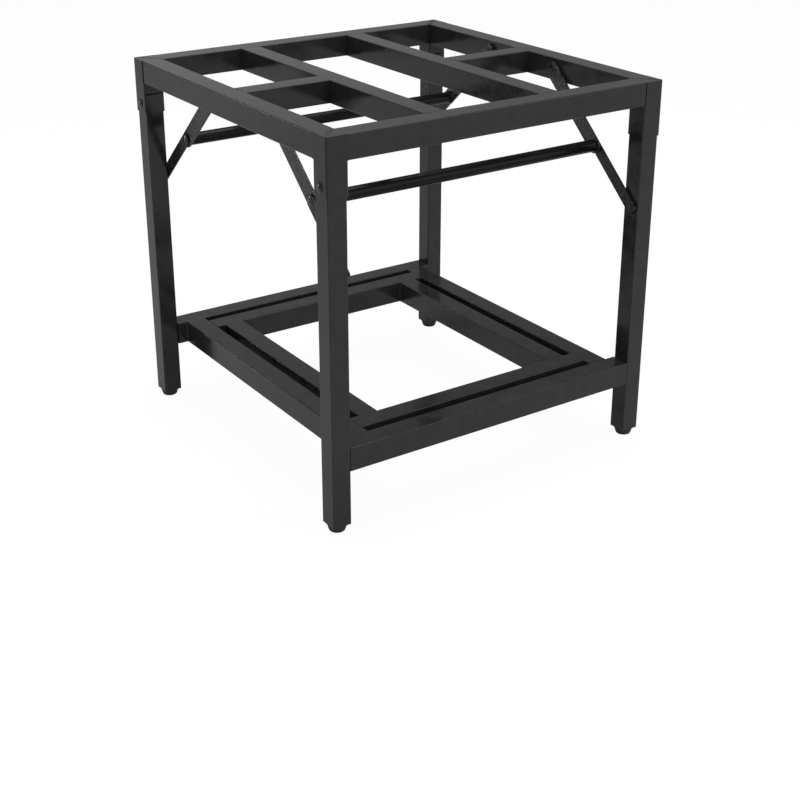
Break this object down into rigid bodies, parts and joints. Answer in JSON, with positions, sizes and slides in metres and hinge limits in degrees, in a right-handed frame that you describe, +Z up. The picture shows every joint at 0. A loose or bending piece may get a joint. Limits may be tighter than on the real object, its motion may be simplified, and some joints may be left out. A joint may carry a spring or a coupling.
{
  "type": "kotatsu table",
  "caption": "Square folding steel frame of a low heated table: flush top rails with cross bars, hinged legs with toggle braces, a lift-out low frame and screw glides.",
  "frame": {"origin": "on the floor, under the middle of the frame", "axes": "+Z up; -Y is the front, where one leg pair stands with its rod between the braces; -X is the left, whose outer faces show two leg pivot bolts; both leg pairs turn about X"},
  "size_m": [0.666, 0.66, 0.66],
  "materials": {
    "tube_coat": "satin black powder coat",
    "brace_coat": "satin black powder coat on flat steel",
    "blackened_fasteners": "blackened steel",
    "foot_plastic": "moulded black",
    "plug_plastic": "moulded black"
  },
  "bodies": {
    "top_frame": {"front_rail": "tube_coat", "back_rail": "tube_coat", "left_rail": "tube_coat", "right_rail": "tube_coat", "left_long_bar": "tube_coat", "right_long_bar": "tube_coat", "left_short_bar": "tube_coat", "right_short_bar": "tube_coat", "front_left_corner_post": "tube_coat", "front_right_corner_post": "tube_coat", "back_left_corner_post": "tube_coat", "back_right_corner_post": "tube_coat", "leg_pivot_bolts": "blackened_fasteners", "brace_top_rivets": "blackened_fasteners"},
    "front_legs": {"front_left_leg": "tube_coat", "front_left_hinge_plate": "brace_coat", "front_left_leg_plug": "plug_plastic", "front_right_leg": "tube_coat", "front_right_hinge_plate": "brace_coat", "front_right_leg_plug": "plug_plastic", "front_shelf_rest_pins": "blackened_fasteners"},
    "front_upper_brace": {"front_left_upper_link": "brace_coat", "front_right_upper_link": "brace_coat", "front_brace_rod": "brace_coat", "front_knee_rivets": "blackened_fasteners"},
    "front_lower_brace": {"front_left_lower_link": "brace_coat", "front_right_lower_link": "brace_coat", "front_low_rivets": "blackened_fasteners"},
    "front_left_glide": {"front_left_foot": "foot_plastic"},
    "front_right_glide": {"front_right_foot": "foot_plastic"},
    "back_legs": {"back_left_leg": "tube_coat", "back_left_hinge_plate": "brace_coat", "back_left_leg_plug": "plug_plastic", "back_right_leg": "tube_coat", "back_right_hinge_plate": "brace_coat", "back_right_leg_plug": "plug_plastic", "back_shelf_rest_pins": "blackened_fasteners"},
    "back_upper_brace": {"back_left_upper_link": "brace_coat", "back_right_upper_link": "brace_coat", "back_brace_rod": "brace_coat", "back_knee_rivets": "blackened_fasteners"},
    "back_lower_brace": {"back_left_lower_link": "brace_coat", "back_right_lower_link": "brace_coat", "back_low_rivets": "blackened_fasteners"},
    "back_left_glide": {"back_left_foot": "foot_plastic"},
    "back_right_glide": {"back_right_foot": "foot_plastic"},
    "low_frame": {"shelf_front_rail": "tube_coat", "shelf_back_rail": "tube_coat", "shelf_left_tube": "tube_coat", "shelf_right_tube": "tube_coat", "shelf_front_cross_tube": "tube_coat", "shelf_back_cross_tube": "tube_coat", "shelf_left_inner_tube": "tube_coat", "shelf_right_inner_tube": "tube_coat"}
  },
  "joints": [
    {"name": "front_legs_fold", "type": "hinge", "parent": "top_frame", "child": "front_legs", "pos_m": [0, -0.311, 0.581], "axis": [1, 0, 0], "range_deg": [0, 90]},
    {"name": "front_brace_swing", "type": "hinge", "parent": "top_frame", "child": "front_upper_brace", "pos_m": [0, -0.094, 0.64], "axis": [1, 0, 0], "range_deg": [0, 45.02]},
    {"name": "front_knee_bend", "type": "hinge", "parent": "front_upper_brace", "child": "front_lower_brace", "pos_m": [0, -0.2166, 0.52813], "axis": [1, 0, 0], "range_deg": [-144.09, 0]},
    {"name": "back_legs_fold", "type": "hinge", "parent": "top_frame", "child": "back_legs", "pos_m": [0, 0.311, 0.581], "axis": [1, 0, 0], "range_deg": [-90, 0]},
    {"name": "back_brace_swing", "type": "hinge", "parent": "top_frame", "child": "back_upper_brace", "pos_m": [0, 0.094, 0.64], "axis": [1, 0, 0], "range_deg": [-45.02, 0]},
    {"name": "back_knee_bend", "type": "hinge", "parent": "back_upper_brace", "child": "back_lower_brace", "pos_m": [0, 0.2166, 0.52813], "axis": [1, 0, 0], "range_deg": [0, 144.09]},
    {"name": "low_frame_lift", "type": "slide", "parent": "top_frame", "child": "low_frame", "axis": [0, 0, 1], "range_m": [0, 0.25]},
    {"name": "front_left_glide_screw", "type": "slide", "parent": "front_legs", "child": "front_left_glide", "axis": [0, 0, -1], "range_m": [0, 0.01]},
    {"name": "front_right_glide_screw", "type": "slide", "parent": "front_legs", "child": "front_right_glide", "axis": [0, 0, -1], "range_m": [0, 0.01]},
    {"name": "back_left_glide_screw", "type": "slide", "parent": "back_legs", "child": "back_left_glide", "axis": [0, 0, -1], "range_m": [0, 0.01]},
    {"name": "back_right_glide_screw", "type": "slide", "parent": "back_legs", "child": "back_right_glide", "axis": [0, 0, -1], "range_m": [0, 0.01]}
  ],
  "couplings": [
    {"joint": "front_brace_swing", "follows": "front_legs_fold", "ratio": 0.49912},
    {"joint": "front_knee_bend", "follows": "front_legs_fold", "ratio": -1.5999},
    {"joint": "back_brace_swing", "follows": "back_legs_fold", "ratio": 0.49912},
    {"joint": "back_knee_bend", "follows": "back_legs_fold", "ratio": -1.5999}
  ]
}
